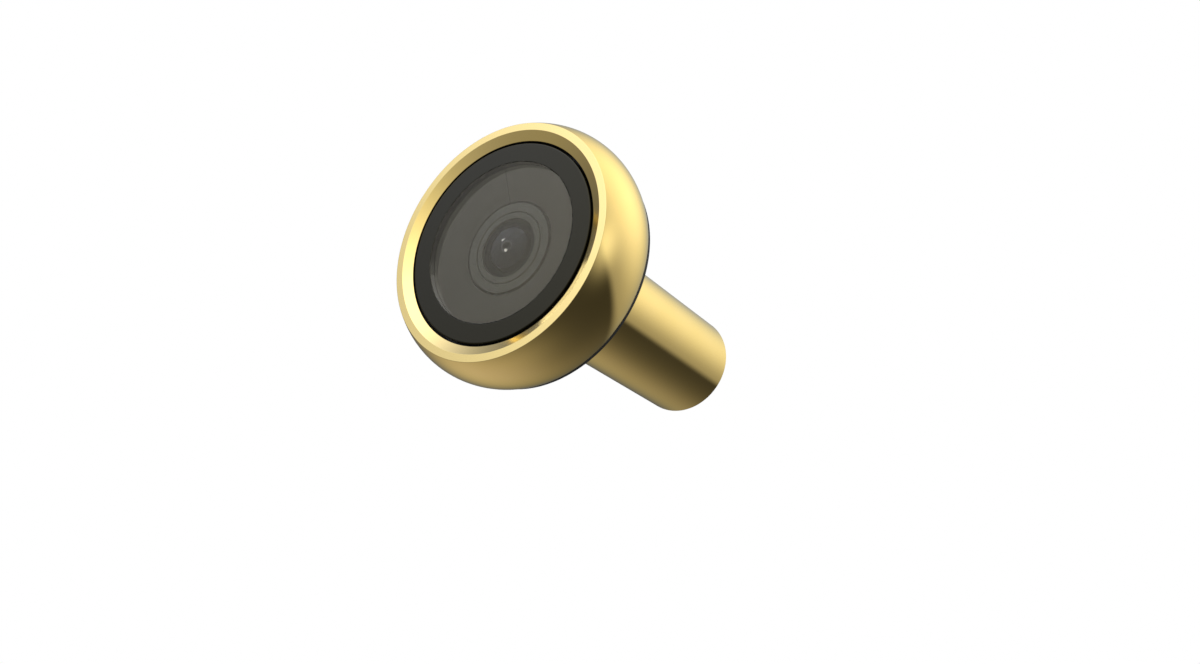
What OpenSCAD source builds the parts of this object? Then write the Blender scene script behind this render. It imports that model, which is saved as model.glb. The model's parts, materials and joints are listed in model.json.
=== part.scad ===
// Camera door viewer: the outdoor head and the barrel that goes through the door.
// The barrel runs along +Y into the door, the window faces -Y and +Z is up.
// The origin is on the barrel's axis, in the plane where the gasket meets the door.
// Depths are measured from the flat front rim towards the door.

/* [Head] */
// Largest diameter of the head
head_d = 32; // [28:0.1:36]
// Depth of the head from the front rim to its back
head_depth = 8.4; // [7.6:0.1:10]
// Depth at which the head is widest
crown_depth = 4.55; // [4.2:0.05:5]
// Rise of the rounded side past the edge of the flat rim
crown_rise = 1.3; // [1.1:0.05:1.6]
// Width of the flat front rim
rim_w = 0.9; // [0.6:0.05:1.1]
// Width of the bevel inside the rim
bevel_w = 1.14; // [0.9:0.02:1.4]
// Depth of the bevel inside the rim
bevel_depth = 0.6; // [0.3:0.02:0.9]
// Thickness of the ledge that carries the window ring
ledge_t = 1.2; // [0.9:0.05:1.5]
// Wall of the head around the rear cover
cover_wall = 1.1; // [0.8:0.05:1.4]
// Width of the step on which the rear cover seats
seat_w = 0.8; // [0.6:0.05:1]
// Radius of the bosses that take the cover screws
boss_r = 1.6; // [1.5:0.05:1.7]

/* [Window] */
// Width of the black border around the clear window
border_w = 2.38; // [2.2:0.02:2.8]
// Thickness of the window glass
glass_t = 1.5; // [1.2:0.05:1.7]
// Depth of the window ring's face below the front rim
ring_recess = 0.53; // [0.4:0.01:0.65]
// Thickness of the window ring's flange
ring_t = 1.7; // [1.4:0.05:1.9]
// Gap between the window ring and the head
ring_gap = 0.28; // [0.1:0.02:0.36]
// Chamfer on the front edge of the window ring
ring_chamfer = 0.15; // [0.05:0.01:0.25]
// Wall of the spigot behind the window ring
spigot_wall = 0.5; // [0.4:0.05:0.6]
// Thickness of the seal under the window ring
window_seal_t = 0.4; // [0.3:0.05:0.5]

/* [Shroud] */
// Thickness of the conical shroud's sheet
shroud_t = 0.4; // [0.3:0.05:0.5]
// Width of the land on which the glass rests
land_w = 0.4; // [0.3:0.05:0.6]
// Length of the shroud's cylindrical rim
shroud_rim = 1.2; // [1:0.05:1.4]
// Width of the butt seam at the top of the shroud
seam_w = 0.1; // [0.06:0.01:0.2]
// Step of the shroud's inner edge behind the lens face
shroud_drop = 0.08; // [0:0.02:0.2]
// Gap between the shroud's inner edge and the lens barrel's face
shroud_gap = 0.3; // [0.15:0.05:0.4]

/* [Lens barrel] */
// Outer diameter of the lens barrel's face
lens_face_d = 11.2; // [10.6:0.1:11.8]
// Diameter of the focus thread
focus_thread_d = 9; // [8.8:0.1:9.2]
// Gap for focusing between the lens barrel and its holder
focus_gap = 0.55; // [0.4:0.05:0.7]
// Bore of the lens barrel
lens_bore_d = 7.8; // [7.7:0.05:8]
// Floor of the lens barrel behind the rear lens
lens_floor_t = 0.7; // [0.5:0.05:0.9]
// Outer diameter of the retaining ring
retainer_d = 9; // [8.8:0.1:9.4]
// Clear opening of the retaining ring
lens_clear_d = 7.4; // [7:0.1:7.5]
// Thickness of the retaining ring
retainer_t = 0.3; // [0.25:0.05:0.4]
// Chamfer on each side of the groove around the retaining ring
groove_chamfer = 0.1; // [0.05:0.01:0.15]
// Number of grip grooves around the lens barrel's face
grip_count = 24; // [12:1:36]
// Diameter of a grip groove
grip_d = 0.5; // [0.3:0.05:0.6]
// Depth of a grip groove
grip_depth = 0.15; // [0.1:0.01:0.2]
// Smooth lip in front of the grip grooves
grip_lip = 0.5; // [0.3:0.05:0.8]

/* [Lens elements] */
// Radius of the front lens's domed face
dome_r = 9; // [8.5:0.1:10]
// Diameter of the front lens's dome
dome_d = 6.2; // [6:0.1:6.4]
// Radius of the rounded shoulder around the dome
shoulder_r = 1; // [0.9:0.05:1.1]
// Air between the window glass and the top of the dome
dome_air = 0.3; // [0.2:0.05:0.4]
// Rise of the dome past the lens face
dome_rise = 0.71; // [0.65:0.01:0.8]
// Thickness of the dome
dome_t = 0.3; // [0.25:0.01:0.35]
// Thickness of the front lens's flange
front_lens_t = 1.06; // [0.9:0.02:1.2]
// Diameter of the hollow behind the dome
front_hollow_d = 5.2; // [5:0.1:5.3]
// Thickness of the aperture stop's flange
stop_t = 0.6; // [0.5:0.05:0.8]
// Thickness of the aperture stop's cap
stop_cap_t = 0.25; // [0.2:0.01:0.3]
// Gap between the aperture stop's cap and the front lens
stop_gap = 0.06; // [0.05:0.01:0.1]
// Wall of the aperture stop's skirt
stop_wall = 0.5; // [0.4:0.05:0.6]
// Diameter of the aperture stop's hole
stop_d = 1.2; // [0.8:0.1:2]
// Width of the chamfer around that hole
stop_chamfer = 0.08; // [0.05:0.01:0.12]
// Thickness of the second lens's flange
second_lens_t = 1; // [0.9:0.05:1.2]
// Radius of the second lens's front face
second_front_r = 9; // [8:0.5:12]
// Diameter of the hollow behind the second lens
second_hollow_d = 4.4; // [4:0.1:4.6]
// Radius of curvature of that hollow
second_hollow_r = 4; // [3.5:0.1:5]
// Thickness of the front spacer
front_spacer_t = 0.8; // [0.7:0.05:1]
// Wall of the spacers
spacer_wall = 0.65; // [0.5:0.05:0.8]
// Thickness of the third lens's flange
third_lens_t = 0.6; // [0.5:0.05:0.8]
// Diameter of the third lens's domed faces
third_cap_d = 5.6; // [5:0.1:5.8]
// Radius of the third lens's front face
third_front_r = 10; // [8:0.5:12]
// Radius of the third lens's rear face
third_rear_r = 6; // [5.5:0.1:8]
// Thickness of the rear spacer
rear_spacer_t = 0.8; // [0.75:0.05:1]
// Thickness of the rear lens's flange
rear_lens_t = 0.7; // [0.65:0.05:0.9]
// Radius of the rear lens's hollow front face
rear_front_r = 6; // [5.5:0.1:8]
// Radius of the rear lens's domed rear face
rear_rear_r = 6.5; // [6:0.1:8]
// Opening of the lens barrel's floor behind the rear lens
optic_hole_d = 5.2; // [5:0.1:5.4]

/* [Camera] */
// Thickness of the lens holder's disc
holder_t = 0.8; // [0.7:0.05:1]
// Overhang of the lens holder's disc past the barrel nut
holder_overhang = 0.2; // [0.1:0.05:0.3]
// Wall of the lens holder's posts around their screws
post_wall = 0.5; // [0.4:0.05:0.6]
// Side of the square infrared filter
filter_side = 5.2; // [4.8:0.1:5.4]
// Thickness of the infrared filter
filter_t = 0.3; // [0.2:0.05:0.5]
// Width of the ledge on which the filter rests
filter_ledge = 0.3; // [0.2:0.05:0.5]
// Air between the lens barrel and the filter
filter_air = 0.4; // [0.3:0.05:0.6]
// Thickness of the web between the filter and the sensor
filter_web_t = 0.4; // [0.3:0.05:0.6]
// Width of the image sensor
sensor_w = 5; // [4.6:0.1:5.2]
// Height of the image sensor
sensor_h = 4.4; // [4:0.1:4.8]
// Thickness of the image sensor
sensor_t = 0.9; // [0.7:0.05:1.1]
// Air in front of the image sensor
sensor_air = 0.4; // [0.3:0.05:0.6]
// Width of the frame around the sensor's active face
sensor_frame_w = 0.5; // [0.3:0.05:0.7]
// Height of the frame around the sensor's active face
sensor_frame_t = 0.2; // [0.1:0.05:0.3]
// Thickness of the sensor board
board_t = 0.8; // [0.6:0.05:1]

/* [Board parts] */
// Width of a chip
chip_w = 1.8; // [1.4:0.1:2]
// Height of a chip
chip_h = 1.5; // [1.2:0.1:1.8]
// Thickness of a chip
chip_t = 0.7; // [0.5:0.05:0.9]
// Distance of a chip from the middle of the board
chip_across = 1.3; // [1.1:0.1:1.5]
// Height of the chips above the middle of the board
chip_up = 2.6; // [2.4:0.1:3]
// Width of a capacitor
cap_w = 0.5; // [0.4:0.05:0.6]
// Height of a capacitor
cap_h = 0.9; // [0.6:0.05:1]
// Thickness of a capacitor
cap_t = 0.45; // [0.3:0.05:0.5]
// Pitch of the capacitors
cap_pitch = 1.1; // [0.8:0.1:1.4]
// Height of the capacitors above the middle of the board
cap_up = 0.8; // [0.6:0.1:1]
// Width of the cable socket
socket_w = 6; // [5.4:0.1:6.4]
// Height of the cable socket
socket_h = 2.2; // [2:0.1:2.6]
// Depth of the cable socket behind the board
socket_depth = 1.6; // [1.2:0.1:2]
// Wall of the cable socket
socket_wall = 0.4; // [0.3:0.05:0.5]
// Distance of the cable socket below the middle of the board
socket_drop = 1.5; // [1.4:0.1:1.8]
// Number of contact pins in the cable socket
pin_count = 6; // [4:1:8]
// Side of a square contact pin
pin_side = 0.3; // [0.2:0.05:0.35]
// Distance of the pins' ends inside the socket's mouth
pin_inset = 0.3; // [0.1:0.05:0.5]
// Space beside the row of pins
pin_margin = 0.2; // [0.1:0.05:0.3]

/* [Barrel] */
// Outer diameter of the barrel
barrel_d = 14; // [13.6:0.1:14.6]
// Length of the barrel behind the door face
barrel_len = 35.8; // [30:0.1:60]
// Wall of the barrel at its inside thread
thread_wall = 1; // [0.8:0.05:1.1]
// Step in radius from the inside thread down to the camera's seat
seat_step = 0.4; // [0.3:0.05:0.5]
// Depth of the camera's seat past the cable socket
seat_run = 1; // [0.5:0.1:2]
// Radial width of the collar that seats on the rear cover
collar_w = 0.6; // [0.4:0.05:0.8]
// Reduction in radius from the barrel to its threaded neck
neck_step = 0.5; // [0.4:0.05:0.6]
// Chamfer at the barrel's open end
barrel_chamfer = 0.3; // [0.1:0.05:0.4]
// Thickness of the barrel nut
nut_t = 0.9; // [0.8:0.05:1]
// Radial width of the barrel nut
nut_w = 1.7; // [1.4:0.05:1.8]
// Width of the slot across the barrel nut
nut_slot_w = 1.2; // [0.8:0.1:1.6]
// Thickness of the lock washer
washer_t = 0.25; // [0.2:0.05:0.3]

/* [Cover and gasket] */
// Thickness of the rear cover
cover_t = 1.3; // [1.2:0.05:1.4]
// Thickness of the seal under the rear cover
cover_seal_t = 0.3; // [0.2:0.05:0.4]
// Thickness of the door gasket
gasket_t = 0.5; // [0.4:0.05:1.5]
// Distance of the gasket's edge inside the head's edge
gasket_inset = 0.09; // [0:0.01:0.5]

/* [Screws] */
// Thread diameter of the cover screws
cover_screw_d = 2; // [1.8:0.1:2.1]
// Length of a cover screw in its boss
cover_screw_bite = 2.6; // [2:0.1:2.8]
// Metal left between a cover screw's head and the cover's edge
cover_screw_edge = 0.3; // [0.2:0.05:0.4]
// Thread diameter of the lens holder's screws
holder_screw_d = 1.6; // [1.4:0.1:1.7]
// Length of a holder screw in its post
holder_screw_bite = 1.6; // [1.2:0.1:1.8]
// Thread diameter of the window ring's screws
ring_screw_d = 1; // [0.8:0.1:1.1]
// Length of a ring screw in the window ring
ring_screw_bite = 1; // [0.8:0.05:1.2]
// Thread diameter of the board screws
board_screw_d = 1; // [0.8:0.1:1.1]
// Length of a board screw in the lens holder
board_screw_bite = 1.5; // [1.2:0.1:1.5]
// Rim of a pan head past its thread
pan_rim = 0.3; // [0.2:0.05:0.35]
// Height of a pan head
pan_h = 0.6; // [0.5:0.05:0.7]
// Radial clearance between a screw and its hole
screw_gap = 0.05; // [0.02:0.01:0.08]

/* [Fits] */
// Radial clearance of glued and screwed round fits
fit_gap = 0.05; // [0.02:0.01:0.08]
// Clearance around loose pieces
air_gap = 0.15; // [0.1:0.01:0.2]

/* [Hidden] */
$fn = 96;

// How far a cut runs past a face, and how deep joined shapes run into each other
cut_past = 0.5;
join_depth = 0.1;

// Facets of the large arcs and of the grip grooves
fine_fn = 180;
grip_fn = 24;

// Angles around the axis, where 90 is at the top
ring_screw_angles = [60, 120, 240, 300];
cover_screw_angles = [30, 150, 270];
post_angles = [90, 210, 330];
board_screw_angles = [0, 180];

// Width and depth of a screw's slot as shares of its thread diameter
slot_w_share = 0.25;
slot_depth_share = 0.2;

gold = "#d9b45a";
gloss_black = "#111111";
matte_black = "#1c1c1c";
glass_tint = [0.75, 0.85, 0.85, 0.4];
filter_tint = [0.6, 0.75, 0.85, 0.5];
steel = "#b8bcc0";
rubber_black = "#161616";
sensor_grey = "#3a3a44";
board_green = "#1f5a38";
chip_black = "#26262a";
socket_white = "#e6e2d4";
brass = "#c9a227";

// Head outline: an arc through the rim's edge, widest at crown_depth
head_r = head_d / 2;
rim_r = head_r - crown_rise;
crown_r = (crown_rise * crown_rise + crown_depth * crown_depth) / (2 * crown_rise);
function crown_at(depth) =
    head_r - crown_r + sqrt(crown_r * crown_r - (depth - crown_depth) * (depth - crown_depth));
back_r = crown_at(head_depth);
rim_to_door = head_depth + gasket_t;

// Window stack, front to back
opening_r = rim_r - rim_w - bevel_w;
ring_r = opening_r - ring_gap;
window_r = ring_r - border_w;
glass_r = window_r - fit_gap;
glass_back = ring_recess + glass_t;
ring_back = ring_recess + ring_t;
ledge_front = ring_back + window_seal_t;
ledge_back = ledge_front + ledge_t;
spigot_r = window_r + spigot_wall;
ledge_r = spigot_r + air_gap;
ring_screw_circle = (ledge_r + ring_r) / 2;
ring_screw_tip = ring_back - ring_screw_bite;
shroud_back = glass_back + shroud_rim;

// Rear cover and the bosses that it is screwed to
cover_front = head_depth - cover_t;
cover_r = back_r - cover_wall;
seat_depth = cover_front - cover_seal_t;
cavity_r = cover_r - seat_w;
cover_screw_circle = cover_r - cover_screw_d - cover_screw_edge;
cover_screw_tip = cover_front - cover_screw_bite;

// Barrel and its nut
barrel_r = barrel_d / 2;
barrel_end = rim_to_door + barrel_len;
neck_r = barrel_r - neck_step;
thread_bore_r = barrel_r - thread_wall;
camera_seat_r = thread_bore_r - seat_step;
collar_r = barrel_r + collar_w;
washer_front = cover_front - washer_t;
nut_front = washer_front - nut_t;
nut_r = neck_r + nut_w;

// Lens holder, seated on the rear cover around the barrel nut
holder_back = nut_front - air_gap;
holder_front = holder_back - holder_t;
holder_disc_r = nut_r + holder_overhang;
holder_tube_r = camera_seat_r - fit_gap;
post_r = holder_screw_d / 2 + post_wall;
post_circle = nut_r + post_r + air_gap;
holder_screw_tip = cover_front - holder_screw_bite;

// Lens, front to back
lens_face_r = lens_face_d / 2;
clear_r = lens_clear_d / 2;
dome_top = glass_back + dome_air;
lens_face = dome_top + dome_rise;
focus_r = focus_thread_d / 2;
retainer_r = retainer_d / 2 - fit_gap;
retainer_back = lens_face + retainer_t;
retainer_seat = retainer_back + fit_gap;
face_back = holder_front - focus_gap;
element_r = lens_bore_d / 2 - fit_gap;
optic_hole_r = optic_hole_d / 2;
optic_cap_r = optic_hole_r - 2 * fit_gap;
spacer_r = element_r - spacer_wall;
front_back = retainer_back + front_lens_t;
stop_back = front_back + stop_t;
second_back = stop_back + second_lens_t;
spacer_back = second_back + front_spacer_t;
third_back = spacer_back + third_lens_t;
gap_back = third_back + rear_spacer_t;
rear_back = gap_back + rear_lens_t;
lens_end = rear_back + lens_floor_t;

// Dome of the front lens, whose shoulder is an arc that runs smoothly into it, and the stop inside
dome_centre = dome_top + dome_r;
shoulder_circle = dome_d / 2 - shoulder_r;
shoulder_run = dome_r - shoulder_r;
shoulder_depth = dome_centre - sqrt(shoulder_run * shoulder_run - shoulder_circle * shoulder_circle);
shoulder_start = shoulder_circle * dome_r / shoulder_run;
front_hollow_r = front_hollow_d / 2;
front_inner_r = dome_r - dome_t;
stop_cap_r = front_inner_r - stop_gap;
stop_skirt_r = front_hollow_r - stop_gap;
stop_bore_r = stop_skirt_r - stop_wall;
stop_hole_depth = dome_centre - sqrt(stop_cap_r * stop_cap_r - stop_d * stop_d / 4);
second_cap_r = stop_bore_r - 2 * fit_gap;

// Camera behind the lens
filter_front = lens_end + filter_air;
filter_back = filter_front + filter_t;
cavity_front = filter_back + filter_web_t;
sensor_front = cavity_front + sensor_air;
board_front = sensor_front + sensor_t;
board_back = board_front + board_t;
board_r = camera_seat_r - air_gap;
sensor_pocket_w = sensor_w + 2 * air_gap;
sensor_pocket_h = sensor_h + 2 * air_gap;
filter_pocket = filter_side + 2 * fit_gap;
filter_window = filter_side - 2 * filter_ledge;
board_screw_circle = (sensor_pocket_w / 2 + holder_tube_r) / 2;
board_screw_tip = board_front - board_screw_bite;
socket_back = board_back + socket_depth;
camera_seat_end = socket_back + seat_run;

// Turns a shape drawn along +Z so that its depth runs from the rim towards the door
module from_rim() {
    translate([0, -rim_to_door, 0])
        rotate([-90, 0, 0])
            children();
}

// Disc between two depths, used to cut and to build
module disc(front, back, outer) {
    translate([0, 0, front])
        cylinder(r = outer, h = back - front);
}

// Ring between two depths
module ring(front, back, outer, inner) {
    difference() {
        disc(front, back, outer);
        disc(front - cut_past, back + cut_past, inner);
    }
}

// Cone between two depths
module cone(front, back, front_r, rear_r) {
    translate([0, 0, front])
        cylinder(r1 = front_r, r2 = rear_r, h = back - front);
}

// Rectangular block between two depths; across and up are its place beside and above the axis
module block(front, back, width, height, across = 0, up = 0) {
    translate([across - width / 2, -up - height / 2, front])
        cube([width, height, back - front]);
}

// Copies of a shape on a circle
module around(angles, radius) {
    for (a = angles)
        translate([radius * cos(a), -radius * sin(a), 0])
            children();
}

// Half of a spherical cap's outline on the axis, with a short root behind its edge
module front_cap(edge_depth, edge_r, sphere_r) {
    intersection() {
        translate([0, edge_depth + sqrt(sphere_r * sphere_r - edge_r * edge_r)])
            circle(r = sphere_r, $fn = fine_fn);
        translate([0, edge_depth - sphere_r])
            square([edge_r, sphere_r + join_depth]);
    }
}

// The same cap with its bulge towards the back
module rear_cap(edge_depth, edge_r, sphere_r) {
    translate([0, 2 * edge_depth])
        mirror([0, 1])
            front_cap(edge_depth, edge_r, sphere_r);
}

// Half outline of a plug whose domed front shares its centre with the front lens's dome
module dome_outline(sphere_r, edge_r, back) {
    intersection() {
        translate([0, dome_centre])
            circle(r = sphere_r, $fn = fine_fn);
        translate([0, dome_top - cut_past])
            square([edge_r, back - dome_top + cut_past]);
    }
}

// Flange of a lens element as a half outline
module flange_outline(front, back) {
    translate([0, front])
        square([element_r, back - front]);
}

// Pan-head screw that points to the front, its head seated at head_seat
module pan_screw(head_seat, tip, thread_d) {
    head_r = thread_d / 2 + pan_rim;
    head_back = head_seat + pan_h;
    disc(tip, head_seat + join_depth, thread_d / 2 - screw_gap);
    difference() {
        disc(head_seat, head_back, head_r);
        block(head_back - pan_h / 2, head_back + cut_past, 2 * head_r + cut_past, thread_d * slot_w_share);
    }
}

// Countersunk screw that points to the front, its head flush with the back of the rear cover
module flat_screw(tip, thread_d) {
    head_r = thread_d;
    difference() {
        union() {
            disc(tip, head_depth - join_depth, thread_d / 2 - screw_gap);
            cone(head_depth - thread_d / 2, head_depth, thread_d / 2, head_r);
        }
        block(head_depth - thread_d * slot_depth_share, head_depth + cut_past,
            2 * head_r + cut_past, thread_d * slot_w_share);
    }
}

// Hole through the rear cover for a countersunk screw
module flat_screw_hole(thread_d) {
    hole_r = thread_d / 2 + screw_gap;
    sink = thread_d / 2 + cut_past;
    disc(cover_front - cut_past, head_depth + cut_past, hole_r);
    cone(head_depth - thread_d / 2, head_depth + cut_past, hole_r, hole_r + sink);
}

module head_shell() {
    color(gold)
        from_rim()
            difference() {
                rotate_extrude()
                    intersection() {
                        translate([head_r - crown_r, crown_depth])
                            circle(r = crown_r, $fn = fine_fn);
                        square([head_r + cut_past, head_depth]);
                    }
                disc(-cut_past, ledge_front, opening_r);
                cone(0, bevel_depth, opening_r + bevel_w, opening_r);
                disc(ledge_front - cut_past, ledge_back + cut_past, ledge_r);
                difference() {
                    disc(ledge_back, head_depth + cut_past, cavity_r);
                    around(cover_screw_angles, cover_screw_circle)
                        disc(ledge_back - cut_past, cover_front, boss_r);
                }
                disc(seat_depth, head_depth + cut_past, cover_r + fit_gap);
                around(cover_screw_angles, cover_screw_circle)
                    disc(cover_screw_tip - air_gap, cover_front + cut_past, cover_screw_d / 2);
                around(ring_screw_angles, ring_screw_circle)
                    disc(ledge_front - cut_past, ledge_back + cut_past, ring_screw_d / 2 + screw_gap);
            }
}

module window_ring() {
    color(gloss_black)
        from_rim()
            difference() {
                union() {
                    cone(ring_recess, ring_recess + ring_chamfer, ring_r - ring_chamfer, ring_r);
                    disc(ring_recess + ring_chamfer, ring_back, ring_r);
                    disc(ring_back - join_depth, shroud_back, spigot_r);
                }
                disc(ring_recess - cut_past, shroud_back + cut_past, window_r);
                around(ring_screw_angles, ring_screw_circle)
                    disc(ring_screw_tip - air_gap, ring_back + cut_past, ring_screw_d / 2);
            }
}

module window_glass() {
    color(glass_tint)
        from_rim()
            disc(ring_recess, glass_back, glass_r);
}

module window_seal() {
    color(rubber_black)
        from_rim()
            difference() {
                ring(ring_back, ledge_front, ring_r, ledge_r);
                around(ring_screw_angles, ring_screw_circle)
                    disc(ring_back - cut_past, ledge_front + cut_past, ring_screw_d / 2 + screw_gap);
            }
}

module ring_screws() {
    color(steel)
        from_rim()
            around(ring_screw_angles, ring_screw_circle)
                pan_screw(ledge_back, ring_screw_tip, ring_screw_d);
}

module lens_shroud() {
    edge_r = lens_face_r + shroud_gap;
    edge_front = lens_face + shroud_drop;
    land_r = glass_r - land_w;
    color(matte_black)
        difference() {
            from_rim()
                rotate_extrude()
                    polygon([
                        [glass_r, glass_back],
                        [land_r, glass_back],
                        [edge_r, edge_front],
                        [edge_r, edge_front + shroud_t],
                        [land_r, glass_back + shroud_t],
                        [land_r, shroud_back],
                        [glass_r, shroud_back]
                    ]);
            translate([-seam_w / 2, -rim_to_door, 0])
                cube([seam_w, rim_to_door, window_r + cut_past]);
        }
}

module lens_barrel() {
    seat_r = retainer_r + fit_gap;
    grip_circle = lens_face_r + grip_d / 2 - grip_depth;
    color(matte_black)
        from_rim()
            difference() {
                union() {
                    disc(lens_face, face_back, lens_face_r);
                    disc(face_back - join_depth, lens_end, focus_r);
                }
                disc(lens_face - cut_past, retainer_seat, seat_r);
                cone(lens_face - cut_past, lens_face + groove_chamfer,
                    seat_r + groove_chamfer + cut_past, seat_r);
                disc(retainer_seat - cut_past, rear_back, element_r + fit_gap);
                disc(rear_back - cut_past, lens_end + cut_past, optic_hole_r);
                around([for (i = [0 : grip_count - 1]) i * 360 / grip_count], grip_circle)
                    disc(lens_face + grip_lip, face_back + cut_past, grip_d / 2, $fn = grip_fn);
            }
}

module lens_retainer() {
    color(matte_black)
        from_rim()
            difference() {
                union() {
                    cone(lens_face, lens_face + groove_chamfer, retainer_r - groove_chamfer, retainer_r);
                    disc(lens_face + groove_chamfer, retainer_back, retainer_r);
                }
                disc(lens_face - cut_past, retainer_back + cut_past, clear_r);
            }
}

module front_lens() {
    color(glass_tint)
        from_rim()
            rotate_extrude()
                difference() {
                    union() {
                        dome_outline(dome_r, shoulder_start, front_back);
                        intersection() {
                            translate([shoulder_circle, shoulder_depth])
                                circle(r = shoulder_r, $fn = fine_fn);
                            translate([shoulder_start, dome_top])
                                square([shoulder_r, front_back - dome_top]);
                        }
                        flange_outline(retainer_back, front_back);
                    }
                    dome_outline(front_inner_r, front_hollow_r, front_back + cut_past);
                }
}

module aperture_stop() {
    color(matte_black)
        from_rim()
            difference() {
                rotate_extrude()
                    difference() {
                        union() {
                            dome_outline(stop_cap_r, stop_skirt_r, stop_back);
                            flange_outline(front_back, stop_back);
                        }
                        dome_outline(stop_cap_r - stop_cap_t, stop_bore_r, stop_back + cut_past);
                    }
                disc(dome_top, front_back, stop_d / 2);
                cone(stop_hole_depth - cut_past, stop_hole_depth + stop_chamfer,
                    stop_d / 2 + stop_chamfer + cut_past, stop_d / 2);
            }
}

module second_lens() {
    color(glass_tint)
        from_rim()
            rotate_extrude()
                difference() {
                    union() {
                        flange_outline(stop_back, second_back);
                        front_cap(stop_back, second_cap_r, second_front_r);
                    }
                    front_cap(second_back, second_hollow_d / 2, second_hollow_r);
                }
}

module front_spacer() {
    color(matte_black)
        from_rim()
            ring(second_back, spacer_back, element_r, spacer_r);
}

module third_lens() {
    color(glass_tint)
        from_rim()
            rotate_extrude() {
                flange_outline(spacer_back, third_back);
                front_cap(spacer_back, third_cap_d / 2, third_front_r);
                rear_cap(third_back, third_cap_d / 2, third_rear_r);
            }
}

module rear_spacer() {
    color(matte_black)
        from_rim()
            ring(third_back, gap_back, element_r, spacer_r);
}

module rear_lens() {
    color(glass_tint)
        from_rim()
            rotate_extrude()
                difference() {
                    union() {
                        flange_outline(gap_back, rear_back);
                        rear_cap(rear_back, optic_cap_r, rear_rear_r);
                    }
                    rear_cap(gap_back, optic_hole_r, rear_front_r);
                }
}

module lens_holder() {
    color(matte_black)
        from_rim()
            difference() {
                union() {
                    disc(holder_front, holder_back, holder_disc_r);
                    disc(holder_front, board_front, holder_tube_r);
                    around(post_angles, post_circle)
                        disc(holder_front, cover_front, post_r);
                }
                disc(holder_front - cut_past, filter_front, focus_r + fit_gap);
                block(filter_front - cut_past, filter_back, filter_pocket, filter_pocket);
                block(filter_back - cut_past, cavity_front + cut_past, filter_window, filter_window);
                block(cavity_front, board_front + cut_past, sensor_pocket_w, sensor_pocket_h);
                around(post_angles, post_circle)
                    disc(holder_screw_tip - air_gap, cover_front + cut_past, holder_screw_d / 2);
                around(board_screw_angles, board_screw_circle)
                    disc(board_screw_tip - air_gap, board_front + cut_past, board_screw_d / 2);
            }
}

module holder_screws() {
    color(steel)
        from_rim()
            around(post_angles, post_circle)
                flat_screw(holder_screw_tip, holder_screw_d);
}

module ir_filter() {
    color(filter_tint)
        from_rim()
            block(filter_front, filter_back, filter_side, filter_side);
}

module image_sensor() {
    color(sensor_grey)
        from_rim()
            difference() {
                block(sensor_front, board_front, sensor_w, sensor_h);
                block(sensor_front - cut_past, sensor_front + sensor_frame_t,
                    sensor_w - 2 * sensor_frame_w, sensor_h - 2 * sensor_frame_w);
            }
}

module sensor_board() {
    color(board_green)
        from_rim()
            difference() {
                disc(board_front, board_back, board_r);
                around(board_screw_angles, board_screw_circle)
                    disc(board_front - cut_past, board_back + cut_past, board_screw_d / 2 + screw_gap);
            }
}

module board_chips() {
    color(chip_black)
        from_rim() {
            for (side = [-1, 1])
                block(board_back, board_back + chip_t, chip_w, chip_h, side * chip_across, chip_up);
            for (i = [-1 : 1])
                block(board_back, board_back + cap_t, cap_w, cap_h, i * cap_pitch, cap_up);
        }
}

module board_screws() {
    color(steel)
        from_rim()
            around(board_screw_angles, board_screw_circle)
                pan_screw(board_back, board_screw_tip, board_screw_d);
}

module cable_socket() {
    color(socket_white)
        from_rim()
            difference() {
                block(board_back, socket_back, socket_w, socket_h, 0, -socket_drop);
                block(board_back + socket_wall, socket_back + cut_past,
                    socket_w - 2 * socket_wall, socket_h - 2 * socket_wall, 0, -socket_drop);
            }
}

module socket_pins() {
    pitch = (socket_w - 2 * socket_wall - 2 * pin_margin) / pin_count;
    color(brass)
        from_rim()
            for (i = [0 : pin_count - 1])
                block(board_back + socket_wall, socket_back - pin_inset, pin_side, pin_side,
                    (i - (pin_count - 1) / 2) * pitch, -socket_drop);
}

module rear_cover() {
    color(gold)
        from_rim()
            difference() {
                disc(cover_front, head_depth, cover_r);
                disc(cover_front - cut_past, head_depth + cut_past, neck_r + fit_gap);
                around(cover_screw_angles, cover_screw_circle)
                    flat_screw_hole(cover_screw_d);
                around(post_angles, post_circle)
                    flat_screw_hole(holder_screw_d);
            }
}

module cover_seal() {
    color(rubber_black)
        from_rim()
            ring(seat_depth, cover_front, cover_r, cavity_r + fit_gap);
}

module cover_screws() {
    color(steel)
        from_rim()
            around(cover_screw_angles, cover_screw_circle)
                flat_screw(cover_screw_tip, cover_screw_d);
}

module barrel() {
    color(gold)
        from_rim()
            difference() {
                union() {
                    disc(nut_front, head_depth + join_depth, neck_r);
                    disc(head_depth, rim_to_door, collar_r);
                    disc(rim_to_door - join_depth, barrel_end - barrel_chamfer, barrel_r);
                    cone(barrel_end - barrel_chamfer, barrel_end, barrel_r, barrel_r - barrel_chamfer);
                }
                disc(nut_front - cut_past, camera_seat_end + cut_past, camera_seat_r);
                disc(camera_seat_end, barrel_end + cut_past, thread_bore_r);
                cone(barrel_end - barrel_chamfer, barrel_end + cut_past,
                    thread_bore_r, thread_bore_r + barrel_chamfer + cut_past);
            }
}

module lock_washer() {
    color(steel)
        from_rim()
            ring(washer_front, cover_front, nut_r, neck_r + fit_gap);
}

module barrel_nut() {
    color(steel)
        from_rim()
            difference() {
                ring(nut_front, washer_front, nut_r, neck_r + fit_gap);
                block(nut_front - cut_past, nut_front + nut_t / 2, 2 * nut_r + cut_past, nut_slot_w);
            }
}

module door_gasket() {
    color(rubber_black)
        from_rim()
            ring(head_depth, rim_to_door, back_r - gasket_inset, collar_r + air_gap);
}

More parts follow.
